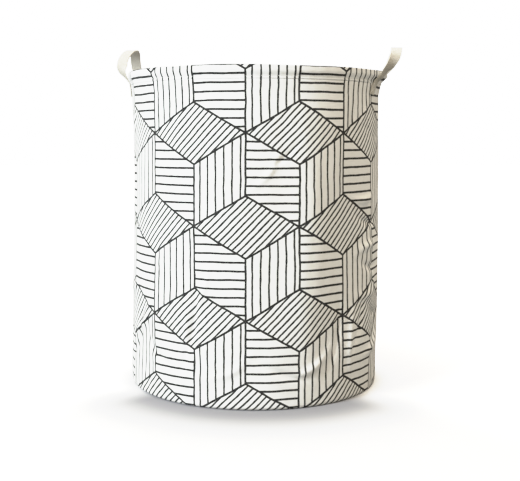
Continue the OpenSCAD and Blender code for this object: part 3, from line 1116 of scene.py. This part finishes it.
# ------------------------------ camera, light and floor
CAMERA_DISTANCE = 1.5
CAMERA_HEIGHT = 0.394
LENS_MM, SENSOR_MM = 62.93, 36.0
PITCH = math.radians(2.3)
SHIFT_ACROSS, SHIFT_UP = 0.00894, -0.12575


def build_camera():
    data = bpy.data.cameras.new("camera")
    data.sensor_width = SENSOR_MM
    data.lens = LENS_MM
    data.shift_x, data.shift_y = SHIFT_ACROSS, SHIFT_UP
    camera = bpy.data.objects.new("camera", data)
    back = Vector((math.cos(FRONT), math.sin(FRONT), 0))
    camera.location = back * CAMERA_DISTANCE + Vector((0, 0, CAMERA_HEIGHT))
    aim = -back * math.cos(PITCH) - Vector((0, 0, math.sin(PITCH)))
    camera.rotation_mode = "QUATERNION"
    camera.rotation_quaternion = aim.to_track_quat("-Z", "Y")
    bpy.context.scene.collection.objects.link(camera)
    bpy.context.scene.camera = camera


# Square soft lights: degrees to the right of the front, height, distance, size, power in watts and colour
LIGHTS = {
    "key": (-50, 1.6, 3.0, 1.0, 150, (0.86, 0.94, 1.0)),
    "overhead": (180, 2.8, 0.9, 2.2, 46, (1.0, 0.98, 0.95)),
    "side": (40, 1.8, 0.9, 0.8, 9, (1.0, 0.94, 0.82)),
}
LIGHT_AIM = Vector((0, 0, 0.25))
FILL_COLOUR, FILL_STRENGTH = (1.0, 0.88, 0.70, 1.0), 0.79
BACKDROP_STRENGTH = 2.0
# How scene brightness, as a share of WHITE_LEVEL, shows on screen
WHITE_LEVEL = 2.0
TONE_CURVE = ((0.1, 0.2), (0.2, 0.4), (0.3, 0.6), (0.38, 0.76), (0.5, 0.885), (0.65, 0.93), (0.78, 0.95),
              (0.93, 0.985))
FLOOR_RADIUS, FLOOR_SIDES = 12.0, 64
FLOOR_BELOW = 0.2 * MM


def area_light(name, degrees, height, distance, size, power, colour):
    data = bpy.data.lights.new(name, "AREA")
    data.shape = "SQUARE"
    data.size = size
    data.energy = power
    data.color = colour
    light = bpy.data.objects.new(name, data)
    angle = FRONT + math.radians(degrees)
    light.location = (distance * math.cos(angle), distance * math.sin(angle), height)
    aim = LIGHT_AIM - light.location
    light.rotation_mode = "QUATERNION"
    light.rotation_quaternion = aim.to_track_quat("-Z", "Y")
    bpy.context.scene.collection.objects.link(light)


def soft_shoulder():
    """Bright cloth keeps its shading instead of burning out, as it does on film."""
    view = bpy.context.scene.view_settings
    view.view_transform = "Standard"
    view.use_curve_mapping = True
    mapping = view.curve_mapping
    mapping.white_level = (WHITE_LEVEL,) * 3
    curve = mapping.curves[3]
    curve.points[-1].location = (1.0, 1.0)
    for x, y in TONE_CURVE:
        curve.points.new(x, y)
    mapping.update()


def build_world():
    """A warm fill on the bin, behind which the camera sees plain white."""
    world = bpy.data.worlds.new("studio")
    world.use_nodes = True
    nodes, links = world.node_tree.nodes, world.node_tree.links
    fill = nodes["Background"]
    fill.inputs["Color"].default_value = FILL_COLOUR
    fill.inputs["Strength"].default_value = FILL_STRENGTH
    seen = nodes.new("ShaderNodeBackground")
    seen.inputs["Color"].default_value = (1.0, 1.0, 1.0, 1.0)
    seen.inputs["Strength"].default_value = BACKDROP_STRENGTH
    path = nodes.new("ShaderNodeLightPath")
    choose = nodes.new("ShaderNodeMixShader")
    links.new(path.outputs["Is Camera Ray"], choose.inputs[0])
    links.new(fill.outputs[0], choose.inputs[1])
    links.new(seen.outputs[0], choose.inputs[2])
    links.new(choose.outputs[0], nodes["World Output"].inputs["Surface"])
    bpy.context.scene.world = world


def build_floor():
    turns = ROUND * np.arange(FLOOR_SIDES) / FLOOR_SIDES
    ring = round_points(turns, FLOOR_RADIUS, 0.0 * turns)
    floor = make_mesh("floor", ring, [range(FLOOR_SIDES)], None, floor_paint("floor_paint"), False)
    floor.location.z = -FLOOR_BELOW


def build_studio():
    build_world()
    soft_shoulder()
    for name, settings in LIGHTS.items():
        area_light(name, *settings)
    build_floor()


# ------------------------------ putting it together
build_camera()
build_studio()

wall, wall_film = build_wall()
hem = build_hem()
hem_stitches = build_hem_stitching()
base, base_film = build_base()
tape, tape_stitches = build_binding(), build_binding_stitches()
seam_strip, seam_stitches = build_seam_strip(), build_seam_stitches()

build_strap("right_handle_webbing", RIGHT_SIDE, ("right_handle_tails", "right_handle_loop"))
build_strap("left_handle_webbing", LEFT_SIDE, ("left_handle_tails", "left_handle_loop"))
tacks = [stitches(f"{name}_handle_tack_stitches", f"{name}_tack_stitching", *tack_rows(side), TACK_THREAD)
         for name, side in (("right", RIGHT_SIDE), ("left", LEFT_SIDE))]

for piece in (base, base_film, tape, tape_stitches, wall, wall_film, seam_strip, seam_stitches):
    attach(piece, "base")
for piece in (hem, hem_stitches, *tacks):
    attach(piece, "rim")
for piece in (wall, wall_film, seam_strip, seam_stitches):
    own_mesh(piece)
